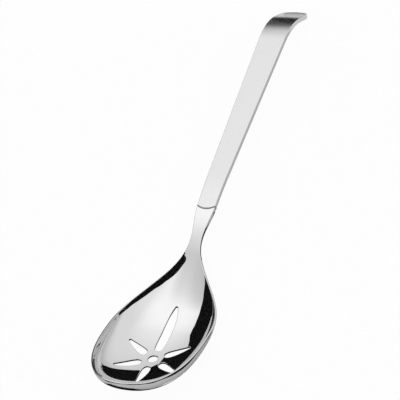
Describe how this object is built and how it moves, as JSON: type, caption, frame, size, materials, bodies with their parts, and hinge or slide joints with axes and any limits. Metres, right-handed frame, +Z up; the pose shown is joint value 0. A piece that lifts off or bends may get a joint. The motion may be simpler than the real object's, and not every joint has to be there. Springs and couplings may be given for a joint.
{
  "type": "slotted serving spoon",
  "caption": "Slotted serving spoon: deep polished bowl pierced by a star of petal-shaped slots round a hole, slim neck, flat satin strap handle ending in a hook.",
  "frame": {"origin": "on the floor, under the middle of the spoon's length and width, as it lies at rest on the heel of its bowl and the tip of its hook", "axes": "+Y from the toe of the bowl towards the hook, +X across the spoon, +Z up"},
  "size_m": [0.0664, 0.3354, 0.0297],
  "materials": {
    "polished_steel": "mirror polished stainless steel",
    "satin_steel": "satin brushed stainless steel",
    "weld_steel": "ground weld"
  },
  "bodies": {
    "root": {"bowl": "polished_steel", "neck_weld": "weld_steel", "handle": "satin_steel"}
  },
  "joints": []
}
